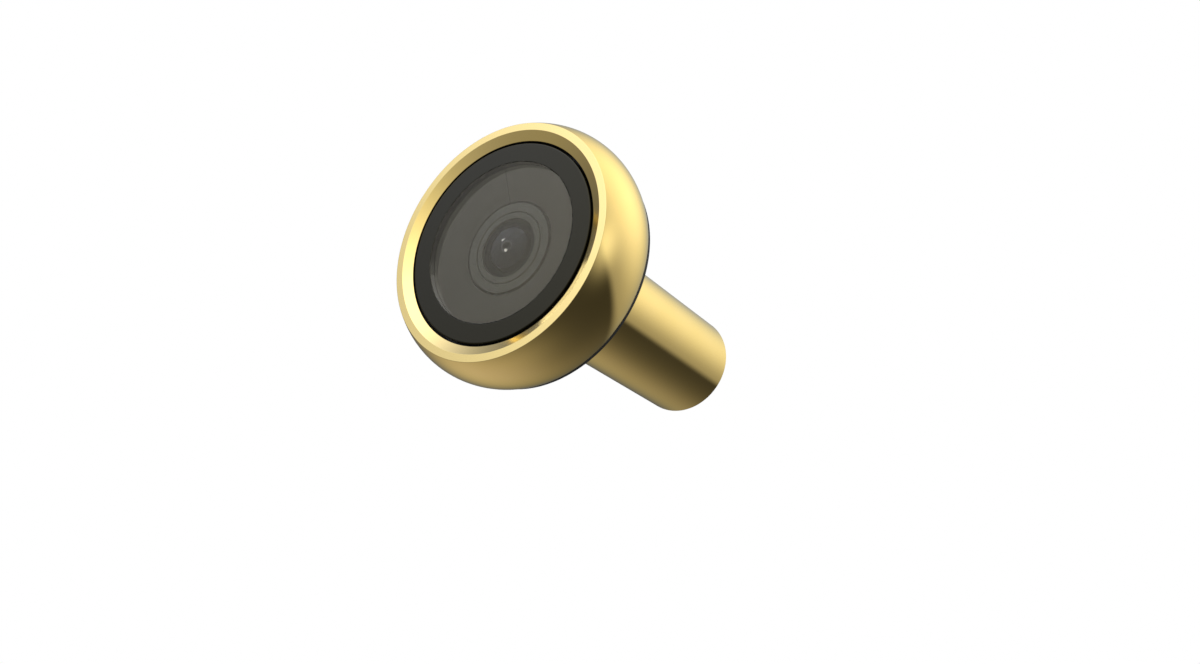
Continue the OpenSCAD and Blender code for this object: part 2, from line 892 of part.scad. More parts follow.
head_shell();
window_ring();
window_glass();
window_seal();
ring_screws();
lens_shroud();
lens_barrel();
lens_retainer();
front_lens();
front_spacer();
second_lens();
aperture_stop();
third_lens();
rear_spacer();
rear_lens();
lens_holder();
holder_screws();
ir_filter();
image_sensor();
sensor_board();
board_chips();
board_screws();
cable_socket();
socket_pins();
rear_cover();
cover_seal();
cover_screws();
barrel();
lock_washer();
barrel_nut();
door_gasket();
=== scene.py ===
import json
import math

import bmesh
import bpy
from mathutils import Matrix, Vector


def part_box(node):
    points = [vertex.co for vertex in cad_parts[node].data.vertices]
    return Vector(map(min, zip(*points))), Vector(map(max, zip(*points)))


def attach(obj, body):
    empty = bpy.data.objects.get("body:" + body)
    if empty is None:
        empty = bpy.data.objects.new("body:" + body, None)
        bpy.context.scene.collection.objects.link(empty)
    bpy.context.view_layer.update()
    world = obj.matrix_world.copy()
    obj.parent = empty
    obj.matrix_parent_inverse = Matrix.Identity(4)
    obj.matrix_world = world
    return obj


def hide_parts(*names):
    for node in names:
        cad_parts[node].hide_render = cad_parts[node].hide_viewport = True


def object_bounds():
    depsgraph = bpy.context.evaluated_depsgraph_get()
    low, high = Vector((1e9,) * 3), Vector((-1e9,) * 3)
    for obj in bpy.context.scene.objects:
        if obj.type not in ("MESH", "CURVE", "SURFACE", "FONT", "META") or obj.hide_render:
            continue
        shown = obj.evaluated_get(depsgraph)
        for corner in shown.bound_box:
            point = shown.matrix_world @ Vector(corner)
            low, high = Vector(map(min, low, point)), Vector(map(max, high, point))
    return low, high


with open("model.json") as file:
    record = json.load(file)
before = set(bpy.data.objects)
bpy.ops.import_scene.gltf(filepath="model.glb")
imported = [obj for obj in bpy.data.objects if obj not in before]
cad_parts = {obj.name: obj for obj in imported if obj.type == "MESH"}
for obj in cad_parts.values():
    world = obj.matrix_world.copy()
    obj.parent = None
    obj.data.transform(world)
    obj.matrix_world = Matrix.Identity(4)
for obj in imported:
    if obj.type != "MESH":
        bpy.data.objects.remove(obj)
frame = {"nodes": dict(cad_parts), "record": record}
nodes = frame["nodes"]
cadLow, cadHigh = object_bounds()
mm = 0.001
scene = bpy.context.scene
scene.view_settings.view_transform = "Standard"
print("frame loaded:", len(nodes), "CAD nodes")

# Depths are millimetres behind the head's front rim, radii are millimetres from the barrel's axis.
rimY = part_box("head_shell")[0].y


def span(node):
    low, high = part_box(node)
    return high.x / mm, (low.y - rimY) / mm, (high.y - rimY) / mm  # radius, front, back


headR, _, headBack = span("head_shell")
ringR, ringFace, ringTail = span("window_ring")
glassR, glassFace, glassBack = span("window_glass")
gasketR, gasketFront, gasketBack = span("door_gasket")
shroudR, shroudFront, shroudBack = span("lens_shroud")
lensR, lensFace, lensEnd = span("lens_barrel")
mounts = {mount["name"]: mount["dims"] for mount in frame["record"]["mounts"]}
tubeR = mounts["barrel"]["r_mm"]
boreR = mounts["barrel_thread"]["r_mm"]
tubeCollarR, tubeFront, tubeEnd = span("barrel")
elementR, domeTop, frontBack = span("front_lens")
stopBack = span("aperture_stop")[2]


# Small helpers for node trees

def put(tree, kind, setup=None, wires=None):
    node = tree.nodes.new(kind)
    for key, value in (setup or {}).items():
        setattr(node, key, value)
    for key, value in (wires or {}).items():
        if isinstance(value, bpy.types.NodeSocket):
            tree.links.new(value, node.inputs[key])
        else:
            node.inputs[key].default_value = value
    return node


def sums(tree, operation, *values):
    node = put(tree, "ShaderNodeMath", {"operation": operation}, dict(enumerate(values)))
    return node.outputs[0]


def vectorSums(tree, operation, *values):
    node = put(tree, "ShaderNodeVectorMath", {"operation": operation}, dict(enumerate(values)))
    return node.outputs["Value" if operation in ("DOT_PRODUCT", "DISTANCE") else "Vector"]


def scaled(tree, vector, scale):
    node = put(tree, "ShaderNodeVectorMath", {"operation": "SCALE"}, {0: vector, "Scale": scale})
    return node.outputs["Vector"]


def hypotenuse(tree, x, z):
    return sums(tree, "SQRT", sums(tree, "ADD", sums(tree, "MULTIPLY", x, x), sums(tree, "MULTIPLY", z, z)))


def smoothStep(tree, value, low, high):
    node = put(tree, "ShaderNodeMapRange", {"interpolation_type": "SMOOTHSTEP"},
               {"Value": value, "From Min": low, "From Max": high})
    return node.outputs["Result"]


def blend(tree, mask, low, high):
    # Each end is a colour socket or three numbers.
    ends = [end if isinstance(end, bpy.types.NodeSocket) else (*end, 1) for end in (low, high)]
    return put(tree, "ShaderNodeMix", {"data_type": "RGBA"}, {0: mask, 6: ends[0], 7: ends[1]}).outputs[2]


def useGroup(tree, group, **wires):
    return put(tree, "ShaderNodeGroup", {"node_tree": group}, wires).outputs


def newTree(name, kind, inputs, outputs):
    tree = bpy.data.node_groups.new(name, kind)
    for label, socketType, value in inputs:
        socket = tree.interface.new_socket(name=label, in_out="INPUT", socket_type=socketType)
        if value is not None:
            socket.default_value = value
    for label, socketType in outputs:
        tree.interface.new_socket(name=label, in_out="OUTPUT", socket_type=socketType)
    return tree, put(tree, "NodeGroupInput").outputs, put(tree, "NodeGroupOutput")


# Camera at the photograph's viewing angle

cameraPlace = {
    "location": (0.069164, -0.096983, -0.060374),
    "azimuth": 32.101,
    "elevation": -23.706,
    "lens": 33.525,
    "sensor": 36,
    "near": 0.002,
    "far": 20,
}


def aim(azimuth, elevation):
    a, e = math.radians(azimuth), math.radians(elevation)
    return Vector((math.cos(e) * math.sin(a), -math.cos(e) * math.cos(a), math.sin(e)))


cameraData = bpy.data.cameras.new("viewCamera")
cameraData.sensor_fit = "HORIZONTAL"
cameraData.sensor_width = cameraPlace["sensor"]
cameraData.lens = cameraPlace["lens"]
cameraData.clip_start = cameraPlace["near"]
cameraData.clip_end = cameraPlace["far"]
camera = bpy.data.objects.new("viewCamera", cameraData)
camera.location = cameraPlace["location"]
camera.rotation_mode = "QUATERNION"
towards = -aim(cameraPlace["azimuth"], cameraPlace["elevation"])
camera.rotation_quaternion = towards.to_track_quat("-Z", "Y")
scene.collection.objects.link(camera)
scene.camera = camera
print("camera set")

# Studio in the world's nodes: a broad dome of light above and behind, one small hard disc, soft lamps and flags

studio = {
    "ground": 0.045,
    "discs": [
        {"azimuth": 132, "elevation": 44, "reach": 64.5, "softness": 0.14,
         "rim": 0.34, "middle": 1.6, "power": 1.85, "tint": (0.99, 1.0, 1.0)},
        {"azimuth": -82, "elevation": 41.8, "reach": 4.0, "softness": 0.0008,
         "rim": 2.0, "middle": 2.0, "power": 1.0, "tint": (1.0, 1.0, 1.0)},
    ],
    "lamps": [
        {"azimuth": -6, "elevation": 39, "focus": 5.2, "level": 2.05, "tint": (0.95, 1.0, 1.05)},
        {"azimuth": 85, "elevation": 0, "focus": 22, "level": 0.8, "tint": (0.98, 1.0, 0.97)},
        {"azimuth": -117, "elevation": -29, "focus": 4.8, "level": 0.60, "tint": (1.05, 1.0, 0.95)},
        {"azimuth": -8, "elevation": -10, "focus": 7, "level": 0.18, "tint": (1.0, 1.0, 1.0)},
        {"azimuth": 20, "elevation": 24, "focus": 8, "level": 0.22, "tint": (1.0, 1.0, 1.0)},
        {"azimuth": -79, "elevation": 56, "focus": 10, "level": 0.12, "tint": (0.25, 0.35, 1.0)},
        {"azimuth": -96, "elevation": -76, "focus": 8.5, "level": 0.13, "tint": (1.05, 1.0, 0.90)},
        {"azimuth": -56, "elevation": -4, "focus": 10, "level": 0.08, "tint": (1.0, 1.0, 0.9)},
        {"azimuth": 11, "elevation": 8, "focus": 20, "level": 0.14, "tint": (1.1, 1.0, 0.1)},
        {"azimuth": -16, "elevation": 52, "focus": 8.5, "level": 0.48, "tint": (0.0, 0.12, 1.0)},
        {"azimuth": -142, "elevation": -11, "focus": 25, "level": 0.045, "tint": (1.0, 0.9, 0.0)},
        # Flags take light away.
        {"azimuth": 106, "elevation": 45, "focus": 14, "level": -0.15, "tint": (0.9, 1.0, 1.5)},
        {"azimuth": -119, "elevation": -37, "focus": 18, "level": -0.09, "tint": (1.0, 0.95, 0.3)},
    ],
    # Pin lamps, far and small: only smooth glass shows them.
    "pins": [
        {"start": (-37.560, 27.795), "end": (-37.560, 27.795), "radius": 0.078, "level": 8.6},
        {"start": (-37.765, 28.275), "end": (-37.635, 28.375), "radius": 0.026, "level": 8.0},
    ],
    "pinTint": (1.0, 1.11, 1.36),
    "pinSoftness": 0.15,
    "thirdShare": 0.3,
}


def softLampGroup():
    tree, given, out = newTree("softLamp", "ShaderNodeTree", [
        ("Direction", "NodeSocketVector", None), ("Aim", "NodeSocketVector", None),
        ("Focus", "NodeSocketFloat", 5.0), ("Level", "NodeSocketFloat", 1.0)],
        [("Light", "NodeSocketFloat")])
    facing = vectorSums(tree, "DOT_PRODUCT", given["Direction"], given["Aim"])
    fall = sums(tree, "EXPONENT", sums(tree, "MULTIPLY", sums(tree, "SUBTRACT", facing, 1.0), given["Focus"]))
    tree.links.new(sums(tree, "MULTIPLY", fall, given["Level"]), out.inputs["Light"])
    return tree


def discLampGroup():
    tree, given, out = newTree("discLamp", "ShaderNodeTree", [
        ("Direction", "NodeSocketVector", None), ("Aim", "NodeSocketVector", None),
        ("Reach", "NodeSocketFloat", 0.5), ("Softness", "NodeSocketFloat", 0.1),
        ("Rim", "NodeSocketFloat", 0.3), ("Middle", "NodeSocketFloat", 1.5), ("Power", "NodeSocketFloat", 2.0)],
        [("Light", "NodeSocketFloat")])
    facing = vectorSums(tree, "DOT_PRODUCT", given["Direction"], given["Aim"])
    inward = sums(tree, "DIVIDE", sums(tree, "SUBTRACT", facing, given["Reach"]),
                  sums(tree, "SUBTRACT", 1.0, given["Reach"]))
    inward = sums(tree, "MAXIMUM", inward, 0.0)
    level = put(tree, "ShaderNodeMapRange", {"clamp": True}, {
        "Value": sums(tree, "POWER", inward, given["Power"]),
        "To Min": given["Rim"], "To Max": given["Middle"]}).outputs["Result"]
    half = sums(tree, "MULTIPLY", given["Softness"], 0.5)
    edge = smoothStep(tree, facing, sums(tree, "SUBTRACT", given["Reach"], half),
                      sums(tree, "ADD", given["Reach"], half))
    tree.links.new(sums(tree, "MULTIPLY", level, edge), out.inputs["Light"])
    return tree


def pinLampGroup():
    tree, given, out = newTree("pinLamp", "ShaderNodeTree", [
        ("Direction", "NodeSocketVector", None), ("Aim", "NodeSocketVector", None),
        ("Half", "NodeSocketVector", None), ("Radius", "NodeSocketFloat", 0.001),
        ("Level", "NodeSocketFloat", 10.0)], [("Light", "NodeSocketFloat")])
    away = vectorSums(tree, "SUBTRACT", given["Direction"], given["Aim"])
    share = vectorSums(tree, "DOT_PRODUCT", away, given["Half"])
    square = vectorSums(tree, "DOT_PRODUCT", given["Half"], given["Half"])
    along = sums(tree, "DIVIDE", share, sums(tree, "MAXIMUM", square, 1e-12))  # a round pin has no length
    along = sums(tree, "MAXIMUM", sums(tree, "MINIMUM", along, 1.0), -1.0)
    off = vectorSums(tree, "DISTANCE", away, scaled(tree, given["Half"], along))
    soft = studio["pinSoftness"]
    edge = smoothStep(tree, off, sums(tree, "MULTIPLY", given["Radius"], 1 + soft),
                      sums(tree, "MULTIPLY", given["Radius"], 1 - soft))
    tree.links.new(sums(tree, "MULTIPLY", edge, given["Level"]), out.inputs["Light"])
    return tree


def lightStudio():
    world = bpy.data.worlds.new("studio")
    scene.world = world
    world.use_nodes = True
    tree = world.node_tree
    tree.nodes.clear()
    direction = put(tree, "ShaderNodeTexCoord").outputs["Generated"]
    path = put(tree, "ShaderNodeLightPath").outputs
    light = put(tree, "ShaderNodeCombineXYZ", None, dict.fromkeys(range(3), studio["ground"])).outputs[0]
    discLamp, softLamp, pinLamp = discLampGroup(), softLampGroup(), pinLampGroup()
    for disc in studio["discs"]:
        shine = useGroup(tree, discLamp, Direction=direction, Aim=aim(disc["azimuth"], disc["elevation"]),
                         Reach=math.cos(math.radians(disc["reach"])), Softness=disc["softness"],
                         Rim=disc["rim"], Middle=disc["middle"], Power=disc["power"])["Light"]
        light = vectorSums(tree, "MULTIPLY_ADD", shine, disc["tint"], light)
    for lamp in studio["lamps"]:
        shine = useGroup(tree, softLamp, Direction=direction, Aim=aim(lamp["azimuth"], lamp["elevation"]),
                         Focus=lamp["focus"], Level=lamp["level"])["Light"]
        light = vectorSums(tree, "MULTIPLY_ADD", shine, lamp["tint"], light)
    for pin in studio["pins"]:
        start, end = aim(*pin["start"]), aim(*pin["end"])
        shine = useGroup(tree, pinLamp, Direction=direction, Aim=(start + end) / 2, Half=(end - start) / 2,
                         Radius=math.radians(pin["radius"]), Level=pin["level"])["Light"]
        shine = sums(tree, "MULTIPLY", shine, path["Is Singular Ray"])
        light = vectorSums(tree, "MULTIPLY_ADD", shine, studio["pinTint"], light)
    # Gold seen in gold by way of the ring, a third reflection, shows only a share of the lamps.
    third = sums(tree, "GREATER_THAN", path["Glossy Depth"], 2.5)  # depths are whole numbers
    lost = sums(tree, "MULTIPLY", third, 1.0 - studio["thirdShare"])
    light = scaled(tree, light, sums(tree, "SUBTRACT", 1.0, lost))
    # Seen straight or through clear glass the background is white; metal and gloss show the studio on it.
    bounces = sums(tree, "ADD", path["Diffuse Depth"], path["Glossy Depth"])
    direct = sums(tree, "LESS_THAN", bounces, 0.5)
    through = sums(tree, "MULTIPLY", path["Is Transmission Ray"], direct)
    seen = sums(tree, "MAXIMUM", path["Is Camera Ray"], through)
    colour = blend(tree, seen, light, (1, 1, 1))
    background = put(tree, "ShaderNodeBackground", None, {"Color": colour, "Strength": 1.0})
    put(tree, "ShaderNodeOutputWorld", None, {"Surface": background.outputs[0]})


lightStudio()
print("studio lit")

# Shared finishes as node groups

textures = {
    "lines": {"Scale": 1.0, "Detail": 2.0, "Roughness": 0.6},
    "cloud": {"Detail": 5.0, "Roughness": 0.62, "Distortion": 0.4},
    "cloudEdges": (0.32, 0.72),
    "grain": {"Detail": 3.0, "Roughness": 0.55},
    "speckEdges": (0.28, 0.10),
}


def turningMarksGroup():
    tree, given, out = newTree("turningMarks", "ShaderNodeTree", [
        ("Vector", "NodeSocketVector", None), ("Spacing", "NodeSocketFloat", 0.05)],
        [("Lines", "NodeSocketFloat")])
    part = put(tree, "ShaderNodeSeparateXYZ", None, {0: given["Vector"]}).outputs
    radius = hypotenuse(tree, part["X"], part["Z"])
    step = sums(tree, "MULTIPLY", given["Spacing"], mm)
    flat = put(tree, "ShaderNodeCombineXYZ", None, {
        "X": sums(tree, "DIVIDE", radius, step), "Y": sums(tree, "DIVIDE", part["Y"], step)})
    noise = put(tree, "ShaderNodeTexNoise", {"noise_dimensions": "2D"},
                {"Vector": flat.outputs[0], **textures["lines"]})
    tree.links.new(noise.outputs[0], out.inputs["Lines"])
    return tree


def handlingGroup():
    tree, given, out = newTree("handling", "ShaderNodeTree", [
        ("Vector", "NodeSocketVector", None), ("Size", "NodeSocketFloat", 6.0),
        ("Low", "NodeSocketFloat", 0.0), ("High", "NodeSocketFloat", 1.0)],
        [("Value", "NodeSocketFloat"), ("Mask", "NodeSocketFloat")])
    scale = sums(tree, "DIVIDE", 1.0 / mm, given["Size"])
    cloud = put(tree, "ShaderNodeTexNoise", None, {"Vector": given["Vector"], "Scale": scale, **textures["cloud"]})
    mask = smoothStep(tree, cloud.outputs[0], *textures["cloudEdges"])
    value = put(tree, "ShaderNodeMapRange", None,
                {"Value": mask, "To Min": given["Low"], "To Max": given["High"]}).outputs["Result"]
    tree.links.new(value, out.inputs["Value"])
    tree.links.new(mask, out.inputs["Mask"])
    return tree


def fineGrainGroup():
    tree, given, out = newTree("fineGrain", "ShaderNodeTree", [
        ("Vector", "NodeSocketVector", None), ("Size", "NodeSocketFloat", 0.1)],
        [("Height", "NodeSocketFloat"), ("Specks", "NodeSocketFloat")])
    scale = sums(tree, "DIVIDE", 1.0 / mm, given["Size"])
    grain = put(tree, "ShaderNodeTexNoise", None, {"Vector": given["Vector"], "Scale": scale, **textures["grain"]})
    pits = put(tree, "ShaderNodeTexVoronoi", None, {"Vector": given["Vector"], "Scale": scale})
    specks = smoothStep(tree, pits.outputs["Distance"], *textures["speckEdges"])
    tree.links.new(grain.outputs[0], out.inputs["Height"])
    tree.links.new(specks, out.inputs["Specks"])
    return tree


turningMarks, handling, fineGrain = turningMarksGroup(), handlingGroup(), fineGrainGroup()


def newFinish(name, **sockets):
    finish = bpy.data.materials.new(name)
    finish.use_nodes = True
    tree = finish.node_tree
    tree.nodes.clear()
    shader = put(tree, "ShaderNodeBsdfPrincipled")
    for label, value in sockets.items():
        shader.inputs[label.replace("_", " ")].default_value = value
    put(tree, "ShaderNodeOutputMaterial", None, {"Surface": shader.outputs[0]})
    place = put(tree, "ShaderNodeTexCoord").outputs["Object"]
    return finish, tree, shader, place


def handled(tree, place, values):
    return useGroup(tree, handling, Vector=place, Size=values["cloudSize"],
                    Low=values["roughLow"], High=values["roughHigh"])


def dent(tree, shader, height, depth):
    bump = put(tree, "ShaderNodeBump", None, {"Strength": 1.0, "Distance": depth * mm, "Height": height})
    tree.links.new(bump.outputs[0], shader.inputs["Normal"])


# The rim colour is a painted highlight: a paler gold on the flat rim for how its bright reflection washes out.
goldValues = {"colour": (0.875, 0.645, 0.23), "worn": (0.885, 0.655, 0.245), "rim": (0.83, 0.622, 0.235),
              "edge": (0.74, 0.76, 0.70), "rimHighlightReach": 0.04, "roughLow": 0.08, "roughHigh": 0.12,
              "cloudSize": 7.0, "lineSpacing": 0.06, "lineDepth": 0.00005}


def goldFinish():
    values = goldValues
    finish, tree, shader, place = newFinish("goldPlate", Metallic=1.0, Specular_Tint=(*values["edge"], 1))
    cloud = handled(tree, place, values)
    plate = blend(tree, cloud["Mask"], values["colour"], values["worn"])
    # The flat rim gets a paler gold: painted highlight, standing in for how its bright reflection washes out.
    depth = put(tree, "ShaderNodeSeparateXYZ", None, {0: place}).outputs["Y"]
    reach = values["rimHighlightReach"] * mm
    rim = smoothStep(tree, depth, rimY + reach, rimY + 0.5 * reach)
    tree.links.new(blend(tree, rim, plate, values["rim"]), shader.inputs["Base Color"])
    tree.links.new(cloud["Value"], shader.inputs["Roughness"])
    lines = useGroup(tree, turningMarks, Vector=place, Spacing=values["lineSpacing"])["Lines"]
    dent(tree, shader, lines, values["lineDepth"])
    return finish


gold = goldFinish()


def plainFinish(name, values):
    finish, tree, shader, place = newFinish(name, IOR=values.get("ior", 1.5), Metallic=values.get("metallic", 0.0),
                                            Specular_Tint=(*values.get("reflex", (1, 1, 1)), 1))
    if "lineSpacing" in values:
        height = useGroup(tree, turningMarks, Vector=place, Spacing=values["lineSpacing"])["Lines"]
        tone = height
    else:
        grain = useGroup(tree, fineGrain, Vector=place, Size=values["grainSize"])
        height, tone = grain["Height"], grain["Specks"]
    tree.links.new(blend(tree, tone, values["colour"], values["light"]), shader.inputs["Base Color"])
    tree.links.new(handled(tree, place, values)["Value"], shader.inputs["Roughness"])
    dent(tree, shader, height, values["dentDepth"])
    return finish


def glassFinish(name, values):
    finish, tree, shader, place = newFinish(name, IOR=values["ior"], Metallic=0.0, Transmission_Weight=1.0,
                                            Specular_Tint=(*values["reflex"], 1))
    cloud = useGroup(tree, handling, Vector=place, Size=values["cloudSize"], Low=0.0, High=values["haze"])
    tree.links.new(blend(tree, cloud["Mask"], values["colour"], values["light"]), shader.inputs["Base Color"])
    tree.links.new(cloud["Value"], shader.inputs["Roughness"])
    # Light on its way to what stands behind the glass goes straight through.
    path = put(tree, "ShaderNodeLightPath").outputs
    passing = sums(tree, "MAXIMUM", path["Is Shadow Ray"], path["Is Diffuse Ray"])
    clear = put(tree, "ShaderNodeBsdfTransparent", None, {"Color": (*values["through"], 1)})
    glass = put(tree, "ShaderNodeMixShader", None, {0: passing, 1: shader.outputs[0], 2: clear.outputs[0]})
    output = next(node for node in tree.nodes if node.bl_idname == "ShaderNodeOutputMaterial")
    tree.links.new(glass.outputs[0], output.inputs["Surface"])
    return finish


ringValues = {"colour": (0.003, 0.003, 0.002), "light": (0.005, 0.005, 0.004), "reflex": (0.58, 0.505, 0.295),
              "roughLow": 0.04, "roughHigh": 0.08, "cloudSize": 8.0, "grainSize": 0.4, "dentDepth": 0.00005}
ringBlack = plainFinish("glossBlack", ringValues)
shroudValues = {"colour": (0.0253, 0.023, 0.0152), "light": (0.029, 0.0264, 0.0175), "reflex": (0.05, 0.045, 0.04),
                "roughLow": 0.50, "roughHigh": 0.58, "cloudSize": 3.0, "grainSize": 0.12, "dentDepth": 0.0005}
shroudBlack = plainFinish("mattBlack", shroudValues)
anodisedValues = {"colour": (0.0130, 0.0118, 0.0067), "light": (0.0195, 0.0178, 0.0105),
                  "reflex": (0.55, 0.54, 0.40), "roughLow": 0.30, "roughHigh": 0.42,
                  "cloudSize": 3.0, "lineSpacing": 0.05, "dentDepth": 0.0003}
anodised = plainFinish("blackAnodised", anodisedValues)
insideValues = {"colour": (0.010, 0.010, 0.009), "light": (0.016, 0.015, 0.014), "roughLow": 0.45, "roughHigh": 0.6,
                "cloudSize": 2.0, "lineSpacing": 0.08, "dentDepth": 0.002}
insideBlack = plainFinish("insideBlack", insideValues)
stopValues = {"colour": (0.0015, 0.0012, 0.001), "light": (0.0025, 0.002, 0.0016), "reflex": (0.03, 0.028, 0.024),
              "roughLow": 0.34, "roughHigh": 0.44, "cloudSize": 1.0, "lineSpacing": 0.04, "dentDepth": 0.0004}
stopBlack = plainFinish("stopBlack", stopValues)
stopEdgeValues = {"colour": (0.05, 0.048, 0.042), "light": (0.065, 0.062, 0.055), "roughLow": 0.30, "roughHigh": 0.42,
                  "cloudSize": 0.5, "lineSpacing": 0.03, "dentDepth": 0.0003}
stopEdge = plainFinish("stopEdge", stopEdgeValues)
paintValues = {"ior": 1.05, "colour": (0.006, 0.0055, 0.005), "light": (0.009, 0.0085, 0.0075),
               "reflex": (0.3, 0.3, 0.3), "roughLow": 0.5, "roughHigh": 0.6,
               "cloudSize": 3.0, "grainSize": 0.1, "dentDepth": 0.001}
edgePaint = plainFinish("edgePaint", paintValues)
# Near-black paint for one arc of the window glass's rim: painted shade for the part of the rim that looks dark.
rimShadePaintValues = {"ior": 1.7, "colour": (0.003, 0.003, 0.002), "light": (0.005, 0.005, 0.004),
                  "reflex": (1.0, 0.95, 0.85), "roughLow": 0.03, "roughHigh": 0.05,
                  "cloudSize": 4.0, "grainSize": 0.3, "dentDepth": 0.00005}
rimShadePaint = plainFinish("rimShadePaint", rimShadePaintValues)
# Near black for the head's seat below the bevel: painted shade for the deep gap round the window ring.
seatShadeValues = {"colour": (0.005, 0.005, 0.004), "light": (0.008, 0.008, 0.007), "roughLow": 0.4, "roughHigh": 0.5,
              "cloudSize": 3.0, "grainSize": 0.1, "dentDepth": 0.001}
seatShade = plainFinish("seatShade", seatShadeValues)
rubberValues = {"colour": (0.011, 0.011, 0.011), "light": (0.017, 0.017, 0.017), "roughLow": 0.58, "roughHigh": 0.75,
                "cloudSize": 5.0, "grainSize": 0.14, "dentDepth": 0.006}
rubber = plainFinish("blackRubber", rubberValues)
steelValues = {"colour": (0.56, 0.57, 0.58), "light": (0.66, 0.67, 0.68), "roughLow": 0.24, "roughHigh": 0.36,
               "metallic": 1.0, "cloudSize": 2.0, "lineSpacing": 0.08, "dentDepth": 0.001}
steel = plainFinish("plainSteel", steelValues)
chipValues = {"colour": (0.018, 0.018, 0.020), "light": (0.030, 0.030, 0.032), "roughLow": 0.42, "roughHigh": 0.55,
              "cloudSize": 1.0, "grainSize": 0.06, "dentDepth": 0.002}
chipBlack = plainFinish("chipMoulding", chipValues)
socketValues = {"colour": (0.74, 0.71, 0.62), "light": (0.80, 0.77, 0.69), "roughLow": 0.38, "roughHigh": 0.48,
                "cloudSize": 1.5, "grainSize": 0.1, "dentDepth": 0.001}
socketCream = plainFinish("socketMoulding", socketValues)
pinValues = {"colour": (0.80, 0.60, 0.19), "light": (0.86, 0.68, 0.28), "roughLow": 0.18, "roughHigh": 0.30,
             "metallic": 1.0, "cloudSize": 0.8, "lineSpacing": 0.05, "dentDepth": 0.0005}
pinBrass = plainFinish("platedPin", pinValues)
bondValues = {"ior": 1.065, "colour": (0.99, 0.99, 0.98), "light": (1.0, 1.0, 0.99), "reflex": (1.0, 1.0, 1.0),
              "through": (0.96, 0.96, 0.955), "cloudSize": 3.0, "haze": 0.14}
bondClear = glassFinish("bondedRim", bondValues)
windowValues = {"ior": 1.5, "colour": (0.985, 0.985, 0.975), "light": (1.0, 1.0, 0.99),
                "reflex": (0.585, 0.485, 0.275), "through": (0.96, 0.96, 0.955), "cloudSize": 5.0, "haze": 0.0}
windowClear = glassFinish("windowClear", windowValues)
lensValues = {"ior": 1.08, "colour": (0.97, 0.98, 0.985), "light": (0.99, 0.99, 0.99), "reflex": (0.9, 0.8, 0.8),
              "through": (0.97, 0.97, 0.97), "cloudSize": 3.0, "haze": 0.0}
lensClear = glassFinish("coatedLens", lensValues)
filterValues = {"ior": 1.52, "colour": (0.62, 0.80, 0.88), "light": (0.68, 0.84, 0.90), "reflex": (0.8, 0.3, 0.4),
                "through": (0.8, 0.9, 0.94), "cloudSize": 2.0, "haze": 0.0}
filterClear = glassFinish("filterGlass", filterValues)
boardValues = {"mask": (0.012, 0.085, 0.040), "track": (0.022, 0.140, 0.066), "pad": (0.62, 0.47, 0.16),
               "trackWidth": 0.35, "trackEdges": (0.52, 0.60), "trackHeight": 0.02, "wander": 5.0,
               "wanderScale": 420.0, "padOffset": 4.1, "padR": 1.08, "padEdge": 0.06,
               "roughLow": 0.26, "roughHigh": 0.34, "cloudSize": 2.0}


def boardFinish():
    values = boardValues
    finish, tree, shader, place = newFinish("boardLacquer", IOR=1.5)
    part = put(tree, "ShaderNodeSeparateXYZ", None, {0: place}).outputs
    bend = put(tree, "ShaderNodeTexNoise", None, {"Vector": place, "Scale": values["wanderScale"], "Detail": 1.0})
    run = sums(tree, "ADD", sums(tree, "DIVIDE", part["X"], values["trackWidth"] * mm),
               sums(tree, "MULTIPLY", bend.outputs[0], values["wander"]))
    track = smoothStep(tree, sums(tree, "PINGPONG", run, 1.0), *values["trackEdges"])
    # Bare pads lie around the two screws.
    offset = sums(tree, "SUBTRACT", sums(tree, "ABSOLUTE", part["X"]), values["padOffset"] * mm)
    pad = smoothStep(tree, hypotenuse(tree, offset, part["Z"]), values["padR"] * mm,
                     (values["padR"] - values["padEdge"]) * mm)
    lacquer = blend(tree, track, values["mask"], values["track"])
    tree.links.new(blend(tree, pad, lacquer, values["pad"]), shader.inputs["Base Color"])
    tree.links.new(pad, shader.inputs["Metallic"])
    tree.links.new(handled(tree, place, values)["Value"], shader.inputs["Roughness"])
    dent(tree, shader, track, values["trackHeight"])
    return finish


boardGreen = boardFinish()
print("finishes made:", len(bpy.data.materials))

# Turned pieces: one tree sweeps a profile about the barrel's axis.
# A profile point's third number is how deep grooves or a thread cut in there.

meshing = {"merge": 1e-7, "weld": 1e-8, "axisR": 1e-6, "sharpAngle": 32, "roundSteps": 4, "support": 0.25}


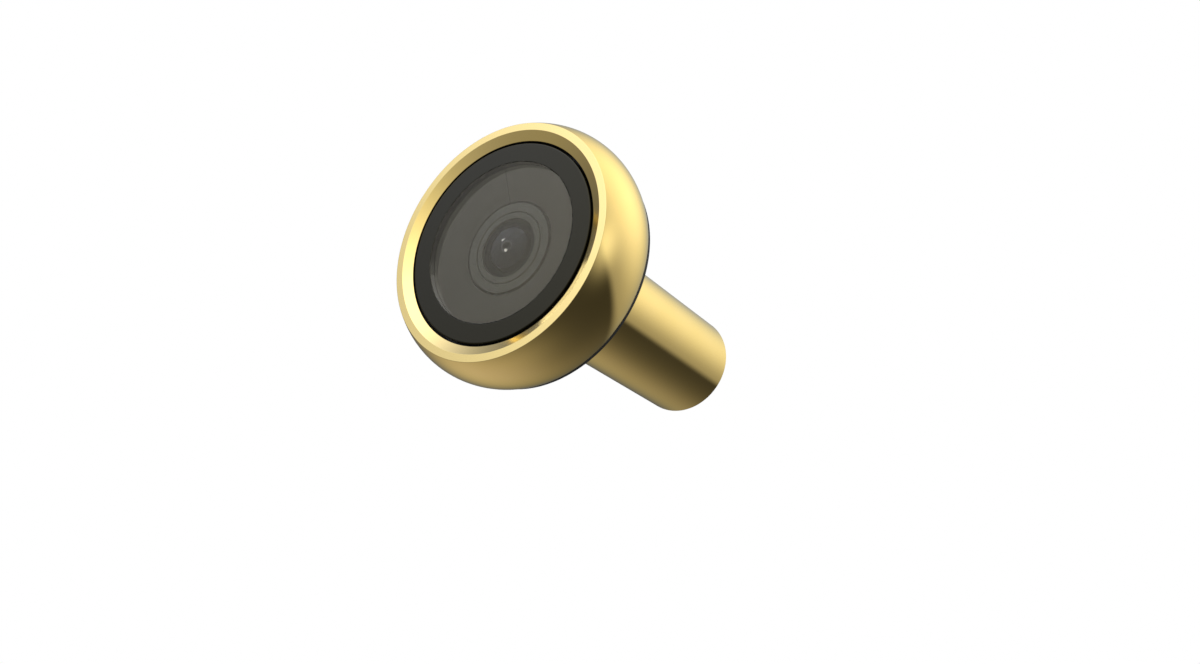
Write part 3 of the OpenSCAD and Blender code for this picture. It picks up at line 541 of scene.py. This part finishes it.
def turnedTree():
    tree, given, out = newTree("turnedPiece", "GeometryNodeTree", [
        ("Profile", "NodeSocketGeometry", None), ("Segments", "NodeSocketInt", 192), ("Loop", "NodeSocketInt", 1),
        ("Seam", "NodeSocketFloat", 0.0), ("Starts", "NodeSocketInt", 0), ("Turns per metre", "NodeSocketFloat", 0.0),
        ("Sharpness", "NodeSocketFloat", 1.0), ("Finish", "NodeSocketMaterial", None)],
        [("Turned", "NodeSocketGeometry")])
    count = put(tree, "GeometryNodeAttributeDomainSize", {"component": "MESH"},
                {"Geometry": given["Profile"]}).outputs["Point Count"]
    columns = sums(tree, "ADD", given["Segments"], 1.0)
    grid = put(tree, "GeometryNodeMeshGrid", None, {
        "Vertices X": sums(tree, "ADD", count, given["Loop"]), "Vertices Y": columns}).outputs["Mesh"]
    index = put(tree, "GeometryNodeInputIndex").outputs[0]
    row = sums(tree, "FLOOR", sums(tree, "DIVIDE", sums(tree, "ADD", index, 0.5), columns))
    column = sums(tree, "SUBTRACT", index, sums(tree, "MULTIPLY", row, columns))
    wrapped = sums(tree, "FLOORED_MODULO", sums(tree, "ADD", row, 0.25), count)
    spot = put(tree, "GeometryNodeSampleIndex", {"data_type": "FLOAT_VECTOR", "domain": "POINT"}, {
        "Geometry": given["Profile"], "Value": put(tree, "GeometryNodeInputPosition").outputs[0],
        "Index": sums(tree, "FLOOR", wrapped)}).outputs[0]
    part = put(tree, "ShaderNodeSeparateXYZ", None, {0: spot}).outputs
    halfGap = sums(tree, "DIVIDE", sums(tree, "MULTIPLY", given["Seam"], 0.5),
                   sums(tree, "MAXIMUM", part["X"], meshing["axisR"]))
    gap = sums(tree, "ARCSINE", sums(tree, "MINIMUM", halfGap, 1.0))
    sweep = sums(tree, "SUBTRACT", 2 * math.pi, sums(tree, "MULTIPLY", gap, 2.0))
    turn = sums(tree, "MULTIPLY", sums(tree, "DIVIDE", column, given["Segments"]), sweep)
    angle = sums(tree, "ADD", sums(tree, "ADD", turn, gap), math.pi / 2)
    phase = sums(tree, "ADD", sums(tree, "MULTIPLY", angle, given["Starts"]),
                 sums(tree, "MULTIPLY", sums(tree, "MULTIPLY", part["Y"], given["Turns per metre"]), 2 * math.pi))
    ripple = sums(tree, "MULTIPLY", sums(tree, "ADD", sums(tree, "COSINE", phase), 1.0), 0.5)
    cut = sums(tree, "MULTIPLY", sums(tree, "POWER", ripple, given["Sharpness"]), part["Z"])
    radius = sums(tree, "SUBTRACT", part["X"], cut)
    place = put(tree, "ShaderNodeCombineXYZ", None, {
        "X": sums(tree, "MULTIPLY", radius, sums(tree, "COSINE", angle)), "Y": part["Y"],
        "Z": sums(tree, "MULTIPLY", radius, sums(tree, "SINE", angle))}).outputs[0]
    shaped = put(tree, "GeometryNodeSetPosition", None, {"Geometry": grid, "Position": place}).outputs[0]
    joined = put(tree, "GeometryNodeMergeByDistance", None,
                 {"Geometry": shaped, "Distance": meshing["merge"]}).outputs[0]
    solid = put(tree, "GeometryNodeRealizeInstances", None, {"Geometry": joined}).outputs[0]
    finished = put(tree, "GeometryNodeSetMaterial", None, {"Geometry": solid, "Material": given["Finish"]}).outputs[0]
    tree.links.new(finished, out.inputs["Turned"])
    return tree


turnedPiece = turnedTree()


def runTree(name, mesh, tree, values):
    host = bpy.data.objects.new(name, mesh)
    scene.collection.objects.link(host)
    modifier = host.modifiers.new(tree.name, "NODES")
    modifier.node_group = tree
    sockets = {item.name: item.identifier for item in tree.interface.items_tree if item.in_out == "INPUT"}
    for label, value in values.items():
        modifier[sockets[label]] = value
    host.update_tag()
    depsgraph = bpy.context.evaluated_depsgraph_get()
    made = bpy.data.meshes.new_from_object(host.evaluated_get(depsgraph), depsgraph=depsgraph)
    host.modifiers.remove(modifier)
    host.data = made
    made.name = name
    while made.materials and made.materials[0] is None:
        made.materials.pop(index=0)
    bpy.data.meshes.remove(mesh)
    return host


def tidyMesh(mesh):
    work = bmesh.new()
    work.from_mesh(mesh)
    bmesh.ops.remove_doubles(work, verts=work.verts, dist=meshing["weld"])
    rims = [edge for edge in work.edges if edge.is_boundary]
    if rims:
        bmesh.ops.holes_fill(work, edges=rims, sides=0)
    bmesh.ops.recalc_face_normals(work, faces=work.faces)
    work.to_mesh(mesh)
    work.free()
    mesh.shade_smooth()
    mesh.set_sharp_from_angle(angle=math.radians(meshing["sharpAngle"]))


def rounded(corners):
    # Each corner is (radius, depth), then its rounding and how deep grooves cut in there.
    # The edges next to a rounding get a support point.
    steps, support = meshing["roundSteps"], meshing["support"]
    points = []
    for i, corner in enumerate(corners):
        here = Vector(corner[:2])
        size = corner[2] if len(corner) > 2 else 0
        cut = corner[3] if len(corner) > 3 else 0
        if not size:
            points.append((here.x, here.y, cut))
            continue
        before = (Vector(corners[i - 1][:2]) - here).normalized()
        after = (Vector(corners[(i + 1) % len(corners)][:2]) - here).normalized()
        half = before.angle(after) / 2
        reach = size / math.tan(half)
        middle = here + (before + after).normalized() * size / math.sin(half)
        start, end = here + before * reach - middle, here + after * reach - middle
        bend = start.angle(end)
        points.append((*(here + before * (reach + support * size)), cut))
        for k in range(steps + 1):
            t = k / steps
            spot = (start * math.sin((1 - t) * bend) + end * math.sin(t * bend)) / math.sin(bend) + middle
            points.append((*spot, cut))
        points.append((*(here + after * (reach + support * size)), cut))
    return points


def arcPoints(centreR, centreDepth, radius, fromDepth, toDepth, steps):
    start = math.asin((fromDepth - centreDepth) / radius)
    stop = math.asin((toDepth - centreDepth) / radius)
    angles = [start + (stop - start) * k / steps for k in range(steps + 1)]
    return [(centreR + radius * math.cos(a), centreDepth + radius * math.sin(a)) for a in angles]


def domeArc(radius, centre, fromR, toR, steps):
    # A face that bulges towards the front, about a centre on the axis
    start, stop = math.asin(fromR / radius), math.asin(toR / radius)
    angles = [start + (stop - start) * k / steps for k in range(steps + 1)]
    return [(radius * math.sin(a), centre - radius * math.cos(a)) for a in angles]


def turned(name, profile, finish, body, node, segments, loop=True, seam=0.0, starts=0, turnsPerMetre=0.0,
           sharpness=1.0):
    mesh = bpy.data.meshes.new(name + "Profile")
    mesh.from_pydata([(p[0] * mm, rimY + p[1] * mm, (p[2] if len(p) > 2 else 0) * mm) for p in profile], [], [])
    piece = runTree(name, mesh, turnedPiece, {
        "Segments": segments, "Loop": int(loop), "Seam": seam * mm, "Starts": starts,
        "Turns per metre": turnsPerMetre, "Sharpness": sharpness, "Finish": finish})
    tidyMesh(piece.data)
    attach(piece, body)
    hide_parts(node)
    return piece


def paintWhere(piece, finish, test):
    # The test is given a face's radius, depth, facing along the axis and turn about it in degrees.
    piece.data.materials.append(finish)
    for face in piece.data.polygons:
        across = math.hypot(face.center.x, face.center.z) / mm
        turn = math.degrees(math.atan2(face.center.z, face.center.x))
        if test(across, (face.center.y - rimY) / mm, face.normal.y, turn):
            face.material_index = len(piece.data.materials) - 1


def paintEdges(glass, paint, within=0.05, start=-180, end=180):
    # The ground rim of a glass piece, or an arc of it in degrees, takes this finish.
    widest = max(math.hypot(v.co.x, v.co.z) for v in glass.data.vertices) / mm
    paintWhere(glass, paint, lambda r, depth, facing, turn:
               abs(facing) < 0.5 and r > widest - within and start <= turn <= end)


# Head: flat rim, inner bevel and a crown that is one arc from the rim to the door side

headShape = {"crownRise": 1.3, "crownDepth": 4.55, "rimWidth": 0.9, "bevelWidth": 1.14, "bevelDepth": 0.6,
             "ledgeFront": 2.63, "ledgeBack": 3.83, "ledgeR": 10.65, "cavityR": 13.19, "seatR": 14.04,
             "seatDepth": 6.8, "edge": 0.05, "backEdge": 0.35, "seatEdge": 0.03, "paintMargin": 0.02,
             "segments": 320, "crownSteps": 72}


def makeHead():
    shape = headShape
    rimR = headR - shape["crownRise"]
    crownR = (shape["crownRise"] ** 2 + shape["crownDepth"] ** 2) / (2 * shape["crownRise"])
    crown = arcPoints(headR - crownR, shape["crownDepth"], crownR, 0, headBack, shape["crownSteps"])
    bevelR = rimR - shape["rimWidth"]
    mouthR = bevelR - shape["bevelWidth"]
    edge, margin = shape["edge"], shape["paintMargin"]
    corners = [(rimR, 0, edge), *crown[1:-1], (*crown[-1], shape["backEdge"]),
               (shape["seatR"], headBack, shape["seatEdge"]),
               (shape["seatR"], shape["seatDepth"]), (shape["cavityR"], shape["seatDepth"]),
               (shape["cavityR"], shape["ledgeBack"]), (shape["ledgeR"], shape["ledgeBack"]),
               (shape["ledgeR"], shape["ledgeFront"]), (mouthR, shape["ledgeFront"]),
               (mouthR, shape["bevelDepth"], edge), (bevelR, 0, edge)]
    head = turned("headShell", rounded(corners), gold, "housing", "head_shell",
                  segments=shape["segments"])
    # Below the bevel, the mouth wall and the seat of the window ring are painted near black: painted shade for the
    # deep gap round the ring.
    paintWhere(head, seatShade, lambda r, depth, facing, turn:
               r < mouthR + margin and depth > shape["bevelDepth"] + margin)


makeHead()

# Window ring and glass

ringShape = {"clearance": 0.05, "spigotR": 10.5, "shoulder": 2.23, "round": 0.15, "lip": 0.07, "edge": 0.025,
             "segments": 256}
glassShape = {"bond": 0.005, "shadeArcFrom": -40, "shadeArcTo": 140, "segments": 192}


def makeWindow():
    shape = ringShape
    holeR = glassR + shape["clearance"]
    corners = [(holeR, ringFace, shape["lip"]), (ringR, ringFace, shape["round"]),
               (ringR, shape["shoulder"], shape["edge"]), (shape["spigotR"], shape["shoulder"]),
               (shape["spigotR"], ringTail), (holeR, ringTail)]
    ring = turned("windowRing", rounded(corners), ringBlack, "housing", "window_ring",
                  segments=shape["segments"])
    shape = glassShape
    rimR = holeR - shape["bond"]  # the bonded edge fills the ring
    profile = [(0, glassFace), (rimR * 0.5, glassFace), (rimR, glassFace), (rimR, glassBack),
               (rimR * 0.5, glassBack), (0, glassBack)]
    glass = turned("windowGlass", profile, windowClear, "housing", "window_glass",
                   segments=shape["segments"], loop=False)
    paintEdges(glass, bondClear)
    # Only the arc from -40 to 140 degrees takes the near-black paint: painted shade where the rim looks dark; the
    # rest stays bonded clear glass.
    paintEdges(glass, rimShadePaint, start=shape["shadeArcFrom"], end=shape["shadeArcTo"])
    # Light reaches the shroud right up to the window's edge, as the glass bends it there.
    for piece in (ring, glass):
        piece.visible_shadow = piece.visible_diffuse = False


makeWindow()

# Shroud: a rolled black cone with one seam at the top

shroudShape = {"land": 0.4, "landGap": 0.02, "mouthR": 5.9, "mouthDepth": 3.12, "sheet": 0.4, "hem": 0.1, "seam": 0.1,
               "segments": 256}


def makeShroud():
    shape = shroudShape
    front = shroudFront + shape["landGap"]  # a hair behind the glass that rests on it
    landR, mouthR = shroudR - shape["land"], shape["mouthR"]
    mouthBack = shape["mouthDepth"] + shape["sheet"]
    corners = [(landR, front), (shroudR, front), (shroudR, shroudBack), (landR, shroudBack),
               (mouthR + shape["hem"], mouthBack), (mouthR, mouthBack), (mouthR, shape["mouthDepth"])]
    turned("lensShroud", rounded(corners), shroudBlack, "housing", "lens_shroud",
           segments=shape["segments"], seam=shape["seam"])


makeShroud()
print("head and window made")

# Gasket and barrel

gasketShape = {"holeR": 7.75, "edge": 0.04, "segments": 256}


def makeGasket():
    shape = gasketShape
    corners = [(shape["holeR"], gasketFront), (gasketR, gasketFront, shape["edge"]),
               (gasketR, gasketBack, shape["edge"]), (shape["holeR"], gasketBack)]
    turned("doorGasket", rounded(corners), rubber, "housing", "door_gasket",
           segments=shape["segments"])


barrelShape = {"neckR": 6.5, "collarFront": 8.4, "seatR": 5.6, "seatBack": 15.4, "chamfer": 0.3, "pitch": 1.0,
               "threadDepth": 0.4, "threadStep": 0.1, "threadSharpness": 1.3, "runOut": 1.2, "relief": 0.2,
               "edge": 0.05, "segments": 224}


def makeBarrel():
    shape = barrelShape
    edge, chamfer = shape["edge"], shape["chamfer"]
    corners = [(shape["seatR"], tubeFront), (shape["neckR"], tubeFront), (shape["neckR"], shape["collarFront"]),
               (tubeCollarR, shape["collarFront"]), (tubeCollarR, gasketBack), (tubeR, gasketBack),
               (tubeR, tubeEnd - chamfer, edge), (tubeR - chamfer, tubeEnd, edge), (boreR + chamfer, tubeEnd, edge)]
    depth, threadStart = tubeEnd - chamfer, shape["seatBack"] + shape["relief"]
    while depth > threadStart:
        fade = min(1.0, (depth - threadStart) / shape["runOut"])
        corners.append((boreR, depth, 0, -shape["threadDepth"] * fade))
        depth -= shape["threadStep"]
    corners += [(boreR, shape["seatBack"]), (shape["seatR"], shape["seatBack"])]
    turned("barrel", rounded(corners), gold, "housing", "barrel", segments=shape["segments"],
           starts=1, turnsPerMetre=1000 / shape["pitch"], sharpness=shape["threadSharpness"])


makeGasket()
makeBarrel()
print("gasket and barrel made")

# Lens: barrel, retainer and the stack of elements, all on the lens body

lensShape = {"flangeBack": 4.45, "threadR": 4.5, "grooveR": 4.5, "grooveDepth": 0.35, "chamfer": 0.1, "seatR": 3.9,
             "rearHoleR": 2.6, "rearSeat": 8.9, "grips": 24, "gripDepth": 0.15, "gripFrom": 3.54, "gripStart": 0.02,
             "gripSharpness": 6.0, "edge": 0.04, "fineEdge": 0.02, "segments": 384}
retainerShape = {"holeR": 3.7, "r": 4.45, "back": 3.34, "chamfer": 0.1, "edge": 0.03, "fineEdge": 0.02,
                 "segments": 224}


def makeLensBody():
    shape = lensShape
    face, chamfer, edge, fineEdge = lensFace, shape["chamfer"], shape["edge"], shape["fineEdge"]
    grip, gripFrom, grooveR = shape["gripDepth"], shape["gripFrom"], shape["grooveR"]
    grooveDepth = face + shape["grooveDepth"]
    corners = [(grooveR + chamfer, face, fineEdge), (lensR, face, edge), (lensR, gripFrom),
               (lensR, gripFrom + shape["gripStart"], 0, grip), (lensR, shape["flangeBack"], 0, grip),
               (shape["threadR"], shape["flangeBack"]), (shape["threadR"], lensEnd), (shape["rearHoleR"], lensEnd),
               (shape["rearHoleR"], shape["rearSeat"]), (shape["seatR"], shape["rearSeat"]),
               (shape["seatR"], grooveDepth), (grooveR, grooveDepth), (grooveR, face + chamfer, fineEdge)]
    turned("lensBarrel", rounded(corners), anodised, "lens", "lens_barrel",
           segments=shape["segments"], starts=shape["grips"], sharpness=shape["gripSharpness"])
    shape = retainerShape
    r, holeR, chamfer, fineEdge = shape["r"], shape["holeR"], shape["chamfer"], shape["fineEdge"]
    corners = [(holeR, face, shape["edge"]), (r - chamfer, face, fineEdge), (r, face + chamfer, fineEdge),
               (r, shape["back"]), (holeR, shape["back"])]
    turned("lensRetainer", rounded(corners), anodised, "lens", "lens_retainer",
           segments=shape["segments"])


frontShape = {"domeR": 9.0, "edgeR": 3.1, "shoulderR": 1.0, "thickness": 0.3, "hollowR": 2.6, "flange": 3.34,
              "paintMargin": 0.01, "wallBand": 0.02, "wallFacing": 0.3, "domeSteps": 36, "shoulderSteps": 24,
              "segments": 224}


def makeFrontLens():
    shape = frontShape
    centre = domeTop + shape["domeR"]
    shoulderR, domeSteps, steps = shape["shoulderR"], shape["domeSteps"], shape["shoulderSteps"]
    shoulderCircle, run = shape["edgeR"] - shoulderR, shape["domeR"] - shoulderR
    lean = math.asin(shoulderCircle / run)
    shoulderDepth = centre - run * math.cos(lean)
    end = math.acos((shoulderDepth - shape["flange"]) / shoulderR)
    profile = domeArc(shape["domeR"], centre, 0, shape["domeR"] * math.sin(lean), domeSteps)
    for k in range(1, steps + 1):
        a = lean + (end - lean) * k / steps
        profile.append((shoulderCircle + shoulderR * math.sin(a), shoulderDepth - shoulderR * math.cos(a)))
    seatR, hollowR = profile[-1][0], shape["hollowR"]
    profile += [(elementR, shape["flange"]), (elementR, frontBack), (hollowR, frontBack)]
    profile += domeArc(shape["domeR"] - shape["thickness"], centre, hollowR, 0, domeSteps)
    glass = turned("frontLens", profile, lensClear, "lens", "front_lens",
                   segments=shape["segments"], loop=False)
    # Black paint on the flange, the rim and the wall of the hollow
    paintWhere(glass, edgePaint, lambda r, depth, facing, turn:
               r > seatR + shape["paintMargin"] or depth > shape["flange"] or
               (abs(r - hollowR) < shape["wallBand"] and abs(facing) < shape["wallFacing"]))


stopShape = {"gap": 0.06, "cap": 0.25, "wall": 0.5, "holeR": 0.6, "chamfer": 0.08, "steps": (1.0, 1.4, 1.8),
             "stepHeight": 0.02, "faceSteps": 8, "backSteps": 16, "segments": 192}


def makeStop():
    shape = stopShape
    centre = domeTop + frontShape["domeR"]
    capR = frontShape["domeR"] - frontShape["thickness"] - shape["gap"]
    skirtR = frontShape["hollowR"] - shape["gap"]
    hollowR, holeR, chamfer = skirtR - shape["wall"], shape["holeR"], shape["chamfer"]
    rings = [holeR + chamfer, *shape["steps"], skirtR]
    profile = []
    for k, (inner, outer) in enumerate(zip(rings, rings[1:])):  # low steps catch stray light
        profile += domeArc(capR - shape["stepHeight"] * k, centre, inner, outer, shape["faceSteps"])
    holeDepth = profile[0][1]
    profile += [(skirtR, frontBack), (elementR, frontBack), (elementR, stopBack), (hollowR, stopBack)]
    profile += domeArc(capR - shape["cap"], centre, hollowR, holeR, shape["backSteps"])
    profile.append((holeR, holeDepth + chamfer))
    stop = turned("apertureStop", profile, stopBlack, "lens", "aperture_stop",
                  segments=shape["segments"])
    paintWhere(stop, stopEdge, lambda r, depth, facing, turn: r < holeR + chamfer and depth < holeDepth + chamfer)


secondShape = {"domeR": 9.0, "domeEdgeR": 1.94, "front": 5.0, "back": 6.0, "hollowR": 4.0, "hollowEdgeR": 2.2,
               "steps": 30, "segments": 160}


def makeSecondLens():
    shape = secondShape
    front, back, domeEdgeR, hollowEdgeR = shape["front"], shape["back"], shape["domeEdgeR"], shape["hollowEdgeR"]
    domeCentre = front + math.sqrt(shape["domeR"] ** 2 - domeEdgeR ** 2)
    hollowCentre = back + math.sqrt(shape["hollowR"] ** 2 - hollowEdgeR ** 2)
    profile = domeArc(shape["domeR"], domeCentre, 0, domeEdgeR, shape["steps"])
    profile += [(elementR, front), (elementR, back)]
    profile += domeArc(shape["hollowR"], hollowCentre, hollowEdgeR, 0, shape["steps"])
    glass = turned("secondLens", profile, lensClear, "lens", "second_lens",
                   segments=shape["segments"], loop=False)
    paintEdges(glass, edgePaint)


makeLensBody()
makeFrontLens()
makeStop()
makeSecondLens()
print("lens made")

# Carried CAD nodes take these finishes

carried = {
    "window_seal": rubber, "cover_seal": rubber, "ring_screws": steel, "holder_screws": steel,
    "board_screws": steel, "cover_screws": steel, "lock_washer": steel, "barrel_nut": steel,
    "front_spacer": insideBlack, "rear_spacer": insideBlack,
    "third_lens": lensClear, "rear_lens": lensClear, "ir_filter": filterClear, "lens_holder": shroudBlack,
    "image_sensor": chipBlack, "board_chips": chipBlack, "sensor_board": boardGreen,
    "cable_socket": socketCream, "socket_pins": pinBrass, "rear_cover": gold,
}
for name, finish in carried.items():
    for slot in nodes[name].material_slots:
        slot.material = finish
print("carried nodes finished:", len(carried))

# Pale floor, well below the part so that the view from below stays clear of it

floorPlace = {"drop": 0.16, "half": 2.5, "colour": (0.90, 0.88, 0.81), "light": (0.93, 0.91, 0.84),
              "cloudSize": 200.0, "rough": 0.8}


def makeFloor():
    half, level = floorPlace["half"], cadLow.z - floorPlace["drop"]
    mesh = bpy.data.meshes.new("floor")
    mesh.from_pydata([(-half, -half, level), (half, -half, level), (half, half, level), (-half, half, level)],
                     [], [(0, 1, 2, 3)])
    floor = bpy.data.objects.new("floor", mesh)
    scene.collection.objects.link(floor)
    finish, tree, shader, place = newFinish("paleFloor", Roughness=floorPlace["rough"])
    cloud = useGroup(tree, handling, Vector=place, Size=floorPlace["cloudSize"])["Mask"]
    tree.links.new(blend(tree, cloud, floorPlace["colour"], floorPlace["light"]), shader.inputs["Base Color"])
    mesh.materials.append(finish)
    floor.visible_glossy = False


makeFloor()

print("done")
